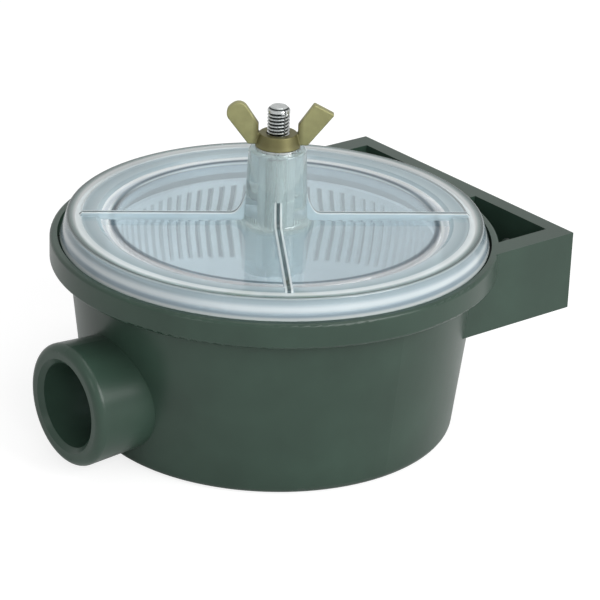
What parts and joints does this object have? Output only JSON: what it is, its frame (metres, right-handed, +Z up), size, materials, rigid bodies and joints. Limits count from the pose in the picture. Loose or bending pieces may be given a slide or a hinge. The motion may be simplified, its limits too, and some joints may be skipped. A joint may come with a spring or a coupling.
{
  "type": "sea water strainer",
  "caption": "Raw water strainer with a wall bracket, a round bowl, a clear ribbed lid on a tie stud with a wing nut, and a lift-out slotted basket.",
  "frame": {"origin": "centre of the bowl's flat underside, on the stud's axis", "axes": "+Z up along the tie stud, +Y outward through the bracket plate towards the wall, inlet socket along -Y, outlet socket along -X"},
  "size_m": [0.1695, 0.1796, 0.1192],
  "materials": {
    "housing_plastic": "moulded, satin",
    "clear_plastic": "clear, polished",
    "basket_plastic": "moulded",
    "black_rubber": "matt",
    "stainless": "turned",
    "brass": "cast, dull"
  },
  "bodies": {
    "bowl": {"housing": "housing_plastic", "stud_insert": "brass", "stud": "stainless", "basket": "basket_plastic", "lid_gasket": "black_rubber"},
    "cover": {"lid": "clear_plastic", "stud_seal": "black_rubber"},
    "washer": {"nut_washer": "stainless"},
    "nut": {"wing_nut": "brass"}
  },
  "joints": [
    {"name": "lid_lift", "type": "slide", "parent": "bowl", "child": "cover", "axis": [0, 0, 1], "range_m": [0, 0.07]},
    {"name": "nut_rise", "type": "slide", "parent": "cover", "child": "washer", "axis": [0, 0, 1], "range_m": [0, 0.015]},
    {"name": "nut_spin", "type": "hinge", "parent": "washer", "child": "nut", "pos_m": [0, 0, 0.1033], "axis": [0, 0, 1], "range_deg": [0, 4320]}
  ],
  "couplings": [
    {"joint": "nut_rise", "follows": "nut_spin", "m_per_rad": 0.00019894}
  ]
}
